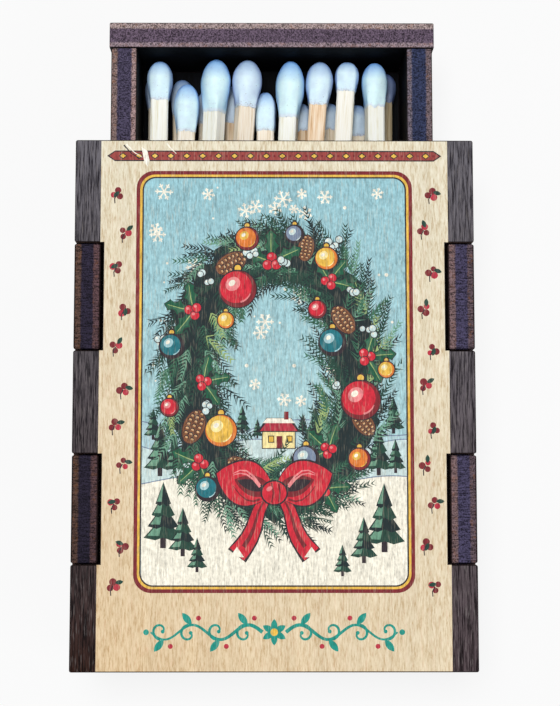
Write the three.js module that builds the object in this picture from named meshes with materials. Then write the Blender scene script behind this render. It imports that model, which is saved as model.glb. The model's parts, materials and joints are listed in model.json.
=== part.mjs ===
// A laser-cut plywood matchbox: an open-ended sleeve of four finger-jointed panels,
// a plywood tray that slides through it, and two rows of white-headed matches in the tray.
// Millimetres. The box lies on its back panel: X is its width, Y its length and Z points up
// out of the decorated front panel. The origin is the middle of the sleeve's underside.
import * as THREE from "three";

// Plywood and sleeve
const ply = 3; // thickness of every panel
const sleeveWidth = 45.4;
const sleeveLength = 60;
const fingerCount = 5; // equal stretches along a long edge, front panel first and last
const fingerSideGap = 0.3; // burnt gap between a finger and the bottom of its notch
const fingerEndGap = 0.2; // saw gap at each end of a finger
const fingerSink = 0.1; // how far a finger's end lies below the panel it comes through
const glueLine = 0.05; // between glued faces

// Tray
const trayPull = 14.9; // how far the tray is drawn out
const traySideGap = 0.9; // on each side of the tray, inside the sleeve
const trayShift = -0.3; // the tray sits a little to the left of the middle
const trayFloorGap = 0.3; // under the tray
const trayTopGap = 0.5; // over the tray's walls
const trayShort = 0.6; // how much shorter than the sleeve the tray is
const endOverhang = 0.25; // each end of the tray stands this far past its side walls
const cornerTabShare = 1 / 3; // share of a wall's height taken by its corner tab
const floorTab = 9; // width of the tabs on the floor's edges
const joineryGap = 0.1; // round the tray's tabs

// Striking strips, one on each side of the sleeve
const strikerEndMargin = 3; // from the sleeve's ends
const strikerEdgeMargin = 2.5; // from the inner faces of the front and back panels
const strikerThickness = 0.4;

// Matches
const stickSide = 2.1; // square
const headSkin = 0.15; // thickness of the coating where it ends on the stick
const socketGap = 0.05; // between a stick's end and the head moulded round it
const socketShare = 0.55; // share of a head's length that the stick reaches into
const widestShare = 0.4; // where a head is widest, as a share of its length from the tip
const besideGap = 0.1; // between neighbours in a row
const layerGap = 0.3; // between the rows
const rimRoom = 2.9; // from the upper row to the tray's rim
const buttRoom = 0.5; // behind the match that lies furthest back
const rowFill = 0.93; // a row takes no further match once it is this full

// One line for each match, from the left wall. In stick widths: how far its tip lies from the
// tray's end, the head's diameter and length, and how far the head is lifted off its row. Then
// how many degrees it is turned about its length, the spare room left of the head and of the
// butt, in parts of what the row has to spare, and the colour of its wood. `endRoom` is the
// share at the right wall.
const lowerRow = {
  matches: [
    { back: 0.43, girth: 1.43, head: 2.1, lift: 0, roll: 5, room: [0.2, 0.6], wood: "pale" },
    { back: 0.76, girth: 1.43, head: 2.2, lift: 0, roll: -8, room: [0, 0.8], wood: "white" },
    { back: 1.38, girth: 1.38, head: 2.1, lift: 0, roll: 2, room: [0, 0.6], wood: "pale" },
    { back: 1.14, girth: 1.43, head: 2.24, lift: 0, roll: 11, room: [0, 0.9], wood: "tan" },
    { back: 1.66, girth: 1.22, head: 2.3, lift: 0.76, roll: -4, room: [1.2, 1.2], wood: "pale" },
    { back: 2.14, girth: 1.38, head: 1.71, lift: 0, roll: -12, room: [1.5, 1.7], wood: "tan" },
    { back: 2.14, girth: 1.38, head: 1.62, lift: 0, roll: 6, room: [0.4, 0.6], wood: "pale" },
    { back: 2.24, girth: 1.43, head: 1.9, lift: 0, roll: 1, room: [0.4, 1.1], wood: "white" },
    { back: 0.38, girth: 1.5, head: 1.76, lift: 0, roll: -7, room: [0.1, 1.3], wood: "pale" },
  ],
  endRoom: [0.4, 1.1],
};
const upperRow = {
  matches: [
    { back: 0.14, girth: 1.52, head: 2.29, lift: 0, roll: 2, room: [0.7, 0.7], wood: "pale" },
    { back: 1.47, girth: 1.52, head: 2.81, lift: 0, roll: 9, room: [0, 0], wood: "pale" },
    { back: 0.05, girth: 1.75, head: 3.1, lift: 0, roll: -33, room: [0, 0], wood: "white" },
    { back: 0.09, girth: 1.75, head: 2.76, lift: 0, roll: 19, room: [0, 0], wood: "tan" },
    { back: 0.13, girth: 1.69, head: 3.33, lift: 0, roll: -9, room: [1.4, 3.6], wood: "white" },
    { back: 0.17, girth: 1.61, head: 2.57, lift: 0, roll: -1, room: [0, 0], wood: "tan" },
    { back: 0.15, girth: 1.41, head: 1.76, lift: 0, roll: -5, room: [0, 1.2], wood: "pale" },
    { back: 0.21, girth: 1.54, head: 2.62, lift: 0, roll: 10, room: [0, 3.6], wood: "white" },
  ],
  endRoom: [1.7, 2.2],
};

// Sizes that follow from those above
const turnOf = (match) => THREE.MathUtils.degToRad(match.roll);
const squareSpan = (side, turn) => side * (Math.cos(turn) + Math.abs(Math.sin(turn)));
const stickSpan = (match) => squareSpan(stickSide, turnOf(match));
const skinSpan = (match) => squareSpan(stickSide + 2 * headSkin, turnOf(match));
const headSpan = (match) => Math.max(match.girth * stickSide, skinSpan(match));
const girthOf = (row) => Math.max(...row.matches.map(headSpan));
const stackHeight = besideGap + girthOf(lowerRow) + layerGap + girthOf(upperRow);
const trayWidth = sleeveWidth - 2 * ply - 2 * traySideGap;
const trayLength = sleeveLength - trayShort;
const trayHeight = ply + stackHeight + rimRoom;
const sleeveDepth = 2 * ply + trayFloorGap + trayHeight + trayTopGap;
const insideWidth = trayWidth - 2 * ply;
const insideLength = trayLength - 2 * ply;
const furthestBack = Math.max(
  ...[lowerRow, upperRow].flatMap((row) => row.matches.map((match) => match.back)),
);
const matchLength = insideLength - buttRoom - furthestBack * stickSide;

const material = (color, roughness) =>
  new THREE.MeshStandardMaterial({ color, roughness, metalness: 0 });
const printedWood = material(0xe3cfa4, 0.6);
const stainedWood = material(0x4a3c3c, 0.75);
const trayWood = material(0x5c4a4d, 0.8);
const strikerGrit = material(0x3a2824, 0.95);
const stickWoods = {
  pale: material(0xe8d9b4, 0.7),
  tan: material(0xd9ae7c, 0.7),
  white: material(0xf0e8cf, 0.7),
};
const headCoat = material(0xdfe8ee, 0.55);

const box = new THREE.Group();

function place(geometry, look, name, parent, position = [0, 0, 0]) {
  const mesh = new THREE.Mesh(geometry, look);
  mesh.name = name;
  mesh.position.set(...position);
  parent.add(mesh);
  return mesh;
}

// The outline of a panel, centred on the origin. Each edge has a list of steps, each with its
// middle (measured from the edge's own middle), its width, and how far it stands out; a notch
// stands out by a negative amount. Steps run in the order of +x or +y.
function panelShape(width, height, { bottom = [], right = [], top = [], left = [] }) {
  const edge = (steps, point) =>
    steps.flatMap(({ middle, width: span, out }) => [
      point(middle - span / 2, 0),
      point(middle - span / 2, out),
      point(middle + span / 2, out),
      point(middle + span / 2, 0),
    ]);
  const w = width / 2;
  const h = height / 2;
  const points = [
    [-w, -h],
    ...edge(bottom, (along, out) => [along, -h - out]),
    [w, -h],
    ...edge(right, (along, out) => [w + out, along]),
    [w, h],
    ...edge(top, (along, out) => [along, h + out]).reverse(),
    [-w, h],
    ...edge(left, (along, out) => [-w - out, along]).reverse(),
  ];
  return new THREE.Shape(points.map(([x, y]) => new THREE.Vector2(x, y)));
}

// A shape cut out of plywood. `facing` is the axis that the sheet's thickness runs along, and
// the thickness is centred on the origin.
function cutPanel(shape, facing) {
  const sheet = new THREE.ExtrudeGeometry(shape, { depth: ply, bevelEnabled: false });
  sheet.translate(0, 0, -ply / 2);
  const [x, y, z] = [
    new THREE.Vector3(1, 0, 0),
    new THREE.Vector3(0, 1, 0),
    new THREE.Vector3(0, 0, 1),
  ];
  const turns = {
    x: new THREE.Matrix4().makeBasis(y, z, x),
    y: new THREE.Matrix4().makeBasis(x, z, y.clone().negate()),
    z: new THREE.Matrix4(),
  };
  return sheet.applyMatrix4(turns[facing]);
}

// The middles of the sleeve's side fingers, which alternate with the front panel's own.
function fingerMiddles() {
  const pitch = sleeveLength / fingerCount;
  const middles = [];
  for (let i = 1; i < fingerCount; i += 2) {
    middles.push((i + 0.5) * pitch - sleeveLength / 2);
  }
  return middles;
}

function makeSleeve() {
  const sleeve = new THREE.Group();
  const finger = sleeveLength / fingerCount;
  const notches = fingerMiddles().map((middle) => ({
    middle,
    width: finger + 2 * fingerEndGap,
    out: -(ply + fingerSideGap),
  }));
  const broad = cutPanel(
    panelShape(sleeveWidth, sleeveLength, { left: notches, right: notches }),
    "z",
  );
  place(broad, printedWood, "front_panel", sleeve, [0, 0, sleeveDepth - ply / 2]);
  place(broad.clone(), stainedWood, "back_panel", sleeve, [0, 0, ply / 2]);

  const bodyHeight = sleeveDepth - 2 * ply - 2 * glueLine;
  const fingers = fingerMiddles().map((middle) => ({
    middle,
    width: finger,
    out: ply + glueLine - fingerSink,
  }));
  const side = cutPanel(
    panelShape(sleeveLength, bodyHeight, { bottom: fingers, top: fingers }),
    "x",
  );
  const sideX = sleeveWidth / 2 - ply / 2;
  place(side, stainedWood, "left_side_panel", sleeve, [-sideX, 0, sleeveDepth / 2]);
  place(side.clone(), stainedWood, "right_side_panel", sleeve, [sideX, 0, sleeveDepth / 2]);

  const strip = new THREE.BoxGeometry(
    strikerThickness,
    sleeveLength - 2 * strikerEndMargin,
    sleeveDepth - 2 * ply - 2 * strikerEdgeMargin,
  );
  const stripX = sleeveWidth / 2 + glueLine + strikerThickness / 2;
  place(strip, strikerGrit, "left_striker_strip", sleeve, [-stripX, 0, sleeveDepth / 2]);
  place(strip.clone(), strikerGrit, "right_striker_strip", sleeve, [stripX, 0, sleeveDepth / 2]);
  return sleeve;
}

function makeTray() {
  const tray = new THREE.Group();
  tray.position.set(trayShift, trayPull + (sleeveLength - trayLength) / 2, ply + trayFloorGap);

  const cornerTab = trayHeight * cornerTabShare;
  const floorTabMiddles = [-insideLength / 4, insideLength / 4];
  const floorNotch = (middle) => ({
    middle,
    width: floorTab + 2 * joineryGap,
    out: -(ply + joineryGap),
  });

  // The floor, with two tabs on each long edge and one on each short edge
  const tab = (middle) => ({ middle, width: floorTab, out: ply + glueLine - joineryGap });
  const floorShape = panelShape(insideWidth - 2 * glueLine, insideLength - 2 * glueLine, {
    left: floorTabMiddles.map(tab),
    right: floorTabMiddles.map(tab),
    bottom: [tab(0)],
    top: [tab(0)],
  });
  place(cutPanel(floorShape, "z"), trayWood, "tray_floor", tray, [0, 0, ply / 2]);

  // Side walls, each with a tab through both end walls
  const endTab = { middle: 0, width: cornerTab, out: ply + glueLine - joineryGap };
  const wall = cutPanel(
    panelShape(insideLength - 2 * glueLine, trayHeight, {
      bottom: floorTabMiddles.map(floorNotch),
      left: [endTab],
      right: [endTab],
    }),
    "x",
  );
  const wallX = trayWidth / 2 - ply / 2;
  place(wall, trayWood, "tray_left_wall", tray, [-wallX, 0, trayHeight / 2]);
  place(wall.clone(), trayWood, "tray_right_wall", tray, [wallX, 0, trayHeight / 2]);

  // End walls, which run right across and stand a little past the side walls
  const cornerNotch = {
    middle: 0,
    width: cornerTab + 2 * joineryGap,
    out: -(ply + endOverhang + joineryGap),
  };
  const end = cutPanel(
    panelShape(trayWidth + 2 * endOverhang, trayHeight, {
      bottom: [floorNotch(0)],
      left: [cornerNotch],
      right: [cornerNotch],
    }),
    "y",
  );
  const endY = trayLength / 2 - ply / 2;
  place(end, trayWood, "tray_far_end", tray, [0, endY, trayHeight / 2]);
  place(end.clone(), trayWood, "tray_near_end", tray, [0, -endY, trayHeight / 2]);

  tray.add(makeMatches());
  return tray;
}

// How far a square with rounded corners reaches from its middle, at an angle.
function roundedSquare(half, angle) {
  const squareness = 12;
  const c = Math.abs(Math.cos(angle)) ** squareness;
  const s = Math.abs(Math.sin(angle)) ** squareness;
  return half / (c + s) ** (1 / squareness);
}

// How wide a rounded tip has become, as a share of its full width, at a share of its length.
const domeAt = (share) => Math.sqrt(1 - (1 - Math.min(share, 1)) ** 2);

// A dipped match head. It is as thick as the larger of a round bulb, which tapers to the stick,
// and a thin square skin over the stick's end. Its tip is at y = 0 and it runs towards -y. The
// rings go from the tip down the outside, in at the rim and up the socket for the stick.
function headGeometry(girth, length) {
  const around = 16;
  const outerRings = 7;
  const rimHalf = stickSide / 2 + headSkin;
  const socketHalf = stickSide / 2 + socketGap;
  const socketEnd = 1 - socketShare;
  const rings = [];
  for (let i = 1; i <= outerRings; i++) {
    const share = (i / outerRings) ** 1.3;
    const pastWidest = Math.max((share - widestShare) / (1 - widestShare), 0);
    const ease = pastWidest * pastWidest * (3 - 2 * pastWidest);
    const bulb = (girth / 2) * domeAt(share / widestShare) - (girth / 2 - rimHalf) * ease;
    const skin = rimHalf * domeAt(share / socketEnd);
    const reach = (angle) => Math.max(bulb, roundedSquare(skin, angle));
    rings.push({ y: -share * length, reach });
  }
  const socketReach = (angle) =>
    socketHalf / Math.max(Math.abs(Math.cos(angle)), Math.abs(Math.sin(angle)));
  rings.push({ y: -length, reach: socketReach });
  rings.push({ y: -length * socketEnd, reach: socketReach });

  const vertices = [0, 0, 0];
  for (const { y, reach } of rings) {
    for (let j = 0; j < around; j++) {
      const angle = (j / around) * 2 * Math.PI;
      vertices.push(reach(angle) * Math.cos(angle), y, reach(angle) * Math.sin(angle));
    }
  }
  vertices.push(0, rings.at(-1).y, 0);

  const at = (ring, j) => 1 + ring * around + (j % around);
  const last = vertices.length / 3 - 1;
  const faces = [];
  for (let j = 0; j < around; j++) {
    faces.push(0, at(0, j + 1), at(0, j));
    for (let ring = 0; ring + 1 < rings.length; ring++) {
      faces.push(at(ring, j), at(ring, j + 1), at(ring + 1, j + 1));
      faces.push(at(ring, j), at(ring + 1, j + 1), at(ring + 1, j));
    }
    faces.push(at(rings.length - 1, j), at(rings.length - 1, j + 1), last);
  }
  const geometry = new THREE.BufferGeometry();
  geometry.setAttribute("position", new THREE.Float32BufferAttribute(vertices, 3));
  geometry.setIndex(faces);
  geometry.computeVertexNormals();
  return geometry;
}

// One match whose tip and butt are at the given points of the tray.
function makeMatch(name, kind, tip, butt) {
  const { girth, head, wood } = kind;
  const match = new THREE.Group();
  const along = new THREE.Vector3().subVectors(tip, butt).normalize();
  match.position.copy(tip);
  match.quaternion
    .setFromUnitVectors(new THREE.Vector3(0, 1, 0), along)
    .multiply(
      new THREE.Quaternion().setFromAxisAngle(new THREE.Vector3(0, 1, 0), turnOf(kind)),
    );
  const headLength = head * stickSide;
  place(headGeometry(girth * stickSide, headLength), headCoat, `${name}_head`, match);
  const stickTop = -headLength * (1 - socketShare) - socketGap;
  const stickLength = matchLength + stickTop;
  const stick = new THREE.BoxGeometry(stickSide, stickLength, stickSide);
  place(stick, stickWoods[wood], `${name}_stick`, match, [0, stickTop - stickLength / 2, 0]);
  return match;
}

// The matches of one row, side by side between the walls, with the spare room shared out. Heads
// and butts are spaced separately, so the sticks lean as they do in a shaken box.
function makeRow(rowName, { matches, endRoom }, headFloor, buttFloor) {
  const row = new THREE.Group();
  const chosen = [];
  let headsTake = besideGap;
  let buttsTake = besideGap;
  for (let i = 0; ; i++) {
    const kind = matches[i % matches.length];
    if (headsTake + headSpan(kind) + besideGap > insideWidth * rowFill) break;
    headsTake += headSpan(kind) + besideGap;
    buttsTake += stickSpan(kind) + besideGap;
    chosen.push(kind);
  }
  const parts = (end) => chosen.reduce((total, kind) => total + kind.room[end], endRoom[end]);
  const headPart = (insideWidth - headsTake) / parts(0);
  const buttPart = (insideWidth - buttsTake) / parts(1);

  let headX = -insideWidth / 2 + besideGap;
  let buttX = headX;
  chosen.forEach((kind, i) => {
    headX += kind.room[0] * headPart;
    buttX += kind.room[1] * buttPart;
    const headHalf = headSpan(kind) / 2;
    const buttHalf = stickSpan(kind) / 2;
    const headZ = headFloor + headHalf + kind.lift * stickSide;
    const tipY = insideLength / 2 - kind.back * stickSide;
    const tip = new THREE.Vector3(headX + headHalf, tipY, headZ);
    const butt = new THREE.Vector3(buttX + buttHalf, tipY - matchLength, buttFloor + buttHalf);
    row.add(makeMatch(`${rowName}_match_${i + 1}`, kind, tip, butt));
    headX += headSpan(kind) + besideGap;
    buttX += stickSpan(kind) + besideGap;
  });
  return row;
}

function makeMatches() {
  const matches = new THREE.Group();
  const lowerFloor = ply + besideGap;
  const upperFloor = lowerFloor + girthOf(lowerRow) + layerGap;
  const lowerButts = Math.max(...lowerRow.matches.map(stickSpan));
  matches.add(makeRow("lower", lowerRow, lowerFloor, lowerFloor));
  matches.add(makeRow("upper", upperRow, upperFloor, lowerFloor + lowerButts + layerGap));
  return matches;
}

box.add(makeSleeve(), makeTray());

export default box;
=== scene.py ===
"""Dresses a laser-cut plywood matchbox: its panels, the print on its front and its matches."""

import json
import random
from math import atan2, copysign, cos, hypot, pi, radians, sin, sqrt

import bmesh
import bpy
from mathutils import Matrix, Vector, noise
from mathutils.geometry import delaunay_2d_cdt


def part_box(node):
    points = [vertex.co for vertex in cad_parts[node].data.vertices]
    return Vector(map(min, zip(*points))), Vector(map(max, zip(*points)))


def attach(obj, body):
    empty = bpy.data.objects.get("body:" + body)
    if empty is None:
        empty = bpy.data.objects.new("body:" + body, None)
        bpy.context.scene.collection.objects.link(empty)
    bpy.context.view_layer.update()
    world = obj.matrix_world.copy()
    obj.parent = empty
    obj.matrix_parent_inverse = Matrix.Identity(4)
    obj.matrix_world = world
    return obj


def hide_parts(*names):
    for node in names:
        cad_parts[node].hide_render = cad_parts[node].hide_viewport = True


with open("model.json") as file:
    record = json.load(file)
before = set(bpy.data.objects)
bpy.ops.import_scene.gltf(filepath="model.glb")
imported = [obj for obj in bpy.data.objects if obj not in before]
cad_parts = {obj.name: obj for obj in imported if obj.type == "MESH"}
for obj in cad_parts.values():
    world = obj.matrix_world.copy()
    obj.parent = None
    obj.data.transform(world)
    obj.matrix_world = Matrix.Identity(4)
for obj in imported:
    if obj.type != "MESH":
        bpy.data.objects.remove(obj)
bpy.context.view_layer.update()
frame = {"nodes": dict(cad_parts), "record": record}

MM = 0.001
BODY_OF = {
    node: body
    for body, nodes in frame["record"]["behaviour"]["bodies"].items()
    for node in nodes
}

# The sleeve's measures, in millimetres
SLEEVE_LOW, SLEEVE_HIGH = (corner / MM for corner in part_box("front_panel"))
PLY = SLEEVE_HIGH.z - SLEEVE_LOW.z
SLEEVE_HALF_WIDTH = SLEEVE_HIGH.x
SLEEVE_HALF_LENGTH = SLEEVE_HIGH.y
FRONT_Z = SLEEVE_HIGH.z

# The print covers the front panel between its dark tabs
INK_DEPTH = 0.03  # the bare panel lies this far below the printed face
INK_SKIRT = 0.039  # the height of the printed sheet's rim
PRINT_HALF_WIDTH = SLEEVE_HALF_WIDTH - PLY + 0.06
PRINT_HALF_LENGTH = SLEEVE_HALF_LENGTH - 0.12
PANEL_SOFTENING = 0.1  # how much the laser and sandpaper took off a sheet's sharp edges

# The camera, in millimetres and degrees
CAMERA_DISTANCE = 181.8
CAMERA_TARGET = Vector((0.64, 5.52, FRONT_Z))
CAMERA_PITCH = radians(5.92)
CAMERA_YAW = radians(0.41)
CAMERA_LENS = 82.15


def srgb(red, green, blue):
    """A colour as a picture holds it, from 0 to 255, as the linear colour of a shader."""
    return tuple((value / 255) ** 2.2 for value in (red, green, blue)) + (1.0,)


class Shader:
    """A material or world under construction. Sockets go in and come out of its short calls."""

    def __init__(self, name, owner=None):
        self.owner = owner or bpy.data.materials.new(name)
        self.owner.use_nodes = True
        self.tree = self.owner.node_tree
        self.tree.nodes.clear()

    def node(self, kind, settings=None, **inputs):
        made = self.tree.nodes.new(f"ShaderNode{kind}")
        for key, value in (settings or {}).items():
            setattr(made, key, value)
        for key, value in inputs.items():
            self.join(value, made.inputs[key.replace("_", " ")])
        return made

    def join(self, value, socket):
        if isinstance(value, bpy.types.NodeSocket):
            self.tree.links.new(value, socket)
        else:
            socket.default_value = value

    def math(self, operation, first, second):
        made = self.node("Math", {"operation": operation})
        self.join(first, made.inputs[0])
        self.join(second, made.inputs[1])
        return made.outputs[0]

    def mix(self, factor, first, second, blend="MIX"):
        made = self.node("Mix", {"data_type": "RGBA", "blend_type": blend})
        self.join(factor, made.inputs[0])
        self.join(first, made.inputs[6])
        self.join(second, made.inputs[7])
        return made.outputs[2]

    def multiply(self, color, *tones):
        for tone in tones:
            color = self.mix(1.0, color, tone, "MULTIPLY")
        return color

    def ramp(self, factor, stops):
        made = self.node("ValToRGB", Fac=factor)
        elements = made.color_ramp.elements
        while len(elements) < len(stops):
            elements.new(0.5)
        for element, (place, color) in zip(elements, stops):
            element.position = place
            element.color = color if not isinstance(color, float) else (color,) * 3 + (1.0,)
        return made.outputs[0]

    def rise(self, value, start, end, high=1.0):
        """A number that goes from 0 to `high` while a value goes from `start` to `end`."""
        return self.ramp(value, [(start, 0.0), (end, high)])

    def place(self, per_mm, offset=(0, 0, 0)):
        """The point on the piece, in millimetres times a scale for each axis."""
        point = self.node("TexCoord").outputs["Object"]
        scale = Vector(per_mm) / MM
        mapping = self.node("Mapping", Vector=point, Location=offset, Scale=scale)
        return mapping.outputs[0]

    def noise(self, per_mm, detail=3.0, roughness=0.55, offset=(0, 0, 0), shift=None):
        """Noise with about as many lumps to the millimetre as each axis says."""
        vector = self.place(per_mm, offset)
        if shift is not None:
            add = self.node("VectorMath", {"operation": "ADD"})
            self.join(vector, add.inputs[0])
            self.join(shift, add.inputs[1])
            vector = add.outputs[0]
        made = self.node("TexNoise", Vector=vector, Scale=1.0, Detail=detail, Roughness=roughness)
        return made.outputs[0]

    def axis(self, vector, name):
        return self.node("SeparateXYZ", Vector=vector).outputs[name]

    def coordinate(self, name):
        """The point's X, Y or Z in millimetres."""
        return self.axis(self.place((1, 1, 1)), name)

    def span(self, name, start, end, low=0.0, high=1.0):
        """A number that goes from `low` to `high` between two places on an axis."""
        ends = {"From_Min": start, "From_Max": end, "To_Min": low, "To_Max": high}
        return self.node("MapRange", Value=self.coordinate(name), **ends).outputs[0]

    def attribute(self, name):
        """A number that the mesh carries."""
        return self.node("Attribute", {"attribute_name": name}).outputs["Fac"]

    def end(self, surface, output="OutputMaterial"):
        self.tree.links.new(surface.outputs[0], self.node(output).inputs[0])
        return self.owner

    def finish(self, color, height, roughness, bump_mm, specular):
        """Ends the material with a bump of so many millimetres."""
        bump = self.node("Bump", Height=height, Distance=bump_mm * MM)
        surface = self.node(
            "BsdfPrincipled", Base_Color=color, Roughness=roughness, Normal=bump.outputs[0]
        )
        surface.inputs["Specular IOR Level"].default_value = specular
        return self.end(surface)

    def seen_apart(self, lighting, seen, share=1.0):
        """A surface that lights the scene like one shader and, by a share, looks like another
        to the camera and in reflections."""
        path = self.node("LightPath")
        camera, mirror = path.outputs["Is Camera Ray"], path.outputs["Is Glossy Ray"]
        looked_at = self.math("MAXIMUM", camera, mirror)
        mixed = self.node("MixShader", Fac=self.math("MULTIPLY", looked_at, share))
        self.tree.links.new(lighting.outputs[0], mixed.inputs[1])
        self.tree.links.new(seen.outputs[0], mixed.inputs[2])
        return mixed


# Wood

BARE_WOOD = srgb(228, 216, 190)
# The laser's char on softened edges, which also serves as painted shade in the gaps between panels
CHARRED_AND_SHADED = srgb(22, 14, 13)


def veneer_grain(shader):
    """Fine streaks and finer hairs along Y, each round 0.5."""
    streaks = shader.noise((6.5, 0.9, 6.5), detail=4.0, roughness=0.65)
    hairs = shader.noise((9.0, 0.7, 9.0), detail=2.0, roughness=0.5, offset=(3.7, 0, 0))
    return streaks, hairs


def end_to_end(shader, low, high):
    """A number that goes from `low` at the sleeve's near end to `high` at its far end."""
    return shader.span("Y", -SLEEVE_HALF_LENGTH, SLEEVE_HALF_LENGTH, low, high)


def side_to_side(shader, low, high):
    """A number that goes from `low` at the sleeve's left side to `high` at its right side."""
    return shader.span("X", -SLEEVE_HALF_WIDTH, SLEEVE_HALF_WIDTH, low, high)


def ink(name, color, near_color=None):
    """Ink that the veneer's grain shows through. It may turn to another colour at the near end."""
    shader = Shader(name)
    streaks, hairs = veneer_grain(shader)
    most_bare = 0.1 + 0.22 * max(color[:3])
    if near_color:
        color = shader.mix(end_to_end(shader, 0.0, 1.0), near_color, color)
    tone = shader.ramp(streaks, [(0.36, 0.66), (0.46, 0.94), (0.54, 1.03), (0.64, 1.2)])
    mottle = shader.ramp(shader.noise((3.2, 2.4, 3.2), detail=4.0), [(0.35, 0.86), (0.65, 1.1)])
    bare = shader.rise(hairs, 0.56, 0.68, most_bare)
    worn = shader.mix(bare, shader.multiply(color, tone, mottle), BARE_WOOD)
    return shader.finish(worn, streaks, 0.6, 0.02, specular=0.15)


def cream_veneer(name):
    """The pale veneer where the print leaves it nearly bare, with painted shade that makes it
    darker and warmer towards the near end, most of all on the left.
    """
    shader = Shader(name)
    streaks, hairs = veneer_grain(shader)
    fine = shader.ramp(
        streaks,
        [(0.34, srgb(194, 174, 140)), (0.48, srgb(220, 210, 183)), (0.64, srgb(235, 228, 206))],
    )
    pink = shader.rise(hairs, 0.57, 0.68, 0.3)
    slow = shader.ramp(shader.noise((0.5, 0.04, 0.5)), [(0.3, 0.93), (0.7, 1.04)])
    fine = shader.multiply(shader.mix(pink, fine, srgb(220, 188, 164)), slow)
    # Painted shade: darker and warmer towards the near end and the left side.
    warm_shade = shader.multiply(fine, srgb(250, 226, 200))
    share = shader.math("MULTIPLY", end_to_end(shader, 1.0, 0.0), side_to_side(shader, 0.95, 0.4))
    color = shader.mix(share, fine, warm_shade)
    return shader.finish(color, streaks, 0.6, 0.03, specular=0.15)


def per_axis(axis, along, across):
    """A number for each axis: one for the axis named and another for the rest."""
    return [along if name == axis else across for name in "XYZ"]


def stained_veneer(shader, axis, dark, light, hair=0.4):
    """Dark stained veneer with streaks and pale hairlines that run along an axis."""
    along, across, finer = 0.34, 7.2, 1.7
    streaks = shader.noise(per_axis(axis, along, across), detail=5.0, roughness=0.7)
    hair_scale = per_axis(axis, along * finer, across * finer)
    hairs = shader.noise(hair_scale, detail=2.0, offset=(1.3, 2.1, 0.7))
    color = shader.mix(shader.rise(streaks, 0.42, 0.57), dark, light)
    pale = shader.rise(hairs, 0.58, 0.70, hair)
    color = shader.mix(pale, color, srgb(146, 138, 136))
    return color, streaks


def sleeve_stain_and_shade(shader, grain):
    """The stain of the outer faces: grey at the far end, with painted shade that makes it browner
    and darker at the near end, most of all on the left."""
    # Painted shade: the stain's colours grow darker and browner towards the near end and the left.
    share = side_to_side(shader, 0.0, 1.0)
    dark = shader.mix(share, srgb(13, 7, 5), srgb(27, 21, 23))
    light = shader.mix(share, srgb(54, 34, 27), srgb(86, 74, 77))
    away = end_to_end(shader, 0.0, 1.0)
    dark = shader.mix(away, dark, srgb(38, 36, 41))
    light = shader.mix(away, light, srgb(108, 105, 111))
    return stained_veneer(shader, grain, dark, light)


def edge_look(outer, core, inner, core_from, core_to, near_tone=1.0, mark_mm=0.25):
    """How a cut edge of three-ply looks: the usual colours of its layers, from the outer veneer
    to the inner one, where its core starts and ends, how much painted shade dims it at the
    near end and how long the laser's marks are."""
    colors = []
    for layer in (outer, core, inner):
        colors.append([srgb(*(share * value for value in layer)) for share in (0.52, 1.4)])
    core = (core_from, core_to)
    return {"colors": colors, "core": core, "near_tone": near_tone, "mark_mm": mark_mm}


LEFT_FINGER = edge_look((78, 60, 54), (42, 38, 51), (80, 61, 64), 0.26, 0.72, 0.5, mark_mm=1.2)
RIGHT_FINGER = edge_look((78, 66, 71), (59, 55, 75), (98, 80, 81), 0.26, 0.72, 0.95, mark_mm=1.2)
LEFT_WALL = edge_look((108, 91, 88), (62, 57, 74), (130, 109, 108), 0.24, 0.80)
RIGHT_WALL = edge_look((93, 81, 85), (46, 51, 73), (94, 87, 96), 0.24, 0.80)
TRAY_END = edge_look((137, 121, 120), (82, 70, 83), (121, 106, 112), 0.24, 0.80)
SLEEVE_END = edge_look((92, 74, 68), (56, 50, 62), (104, 84, 80), 0.26, 0.72)


def ply_edge(shader, axis, outer, inner, look):
    """The colours of a cut edge of three-ply. `axis` is the sheet's thickness, from its outer to
    its inner face, and the laser's fine marks run along it."""
    depth = shader.span(axis, outer, inner)
    wobble = shader.math("SUBTRACT", shader.noise((1.1, 1.1, 1.1), detail=5.0, roughness=0.7), 0.5)
    depth = shader.math("ADD", depth, shader.math("MULTIPLY", wobble, 0.12))
    marks_scale = per_axis(axis, 1 / look["mark_mm"], 6.0)
    marks = shader.noise(marks_scale, detail=3.0, roughness=0.65)
    flecks = shader.noise((7.0, 7.0, 7.0), detail=2.0, roughness=0.6)
    tone = shader.math("MULTIPLY", shader.math("ADD", marks, flecks), 0.5)
    share = shader.rise(tone, 0.42, 0.58)
    bands = [shader.mix(share, dark, light) for dark, light in look["colors"]]
    amber = shader.rise(shader.noise((2.4, 2.4, 2.4), detail=3.0), 0.56, 0.66, 0.3)
    bands[0] = shader.mix(amber, bands[0], srgb(150, 100, 62))
    bands[2] = shader.mix(amber, bands[2], srgb(142, 94, 66))
    color = bands[0]
    for seam, band in zip(look["core"], bands[1:]):
        past_seam = shader.rise(depth, seam - 0.03, seam + 0.03)
        color = shader.mix(past_seam, color, band)
    # Painted shade: the edge grows darker towards the near end.
    return shader.multiply(color, end_to_end(shader, look["near_tone"], 1.0))


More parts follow.
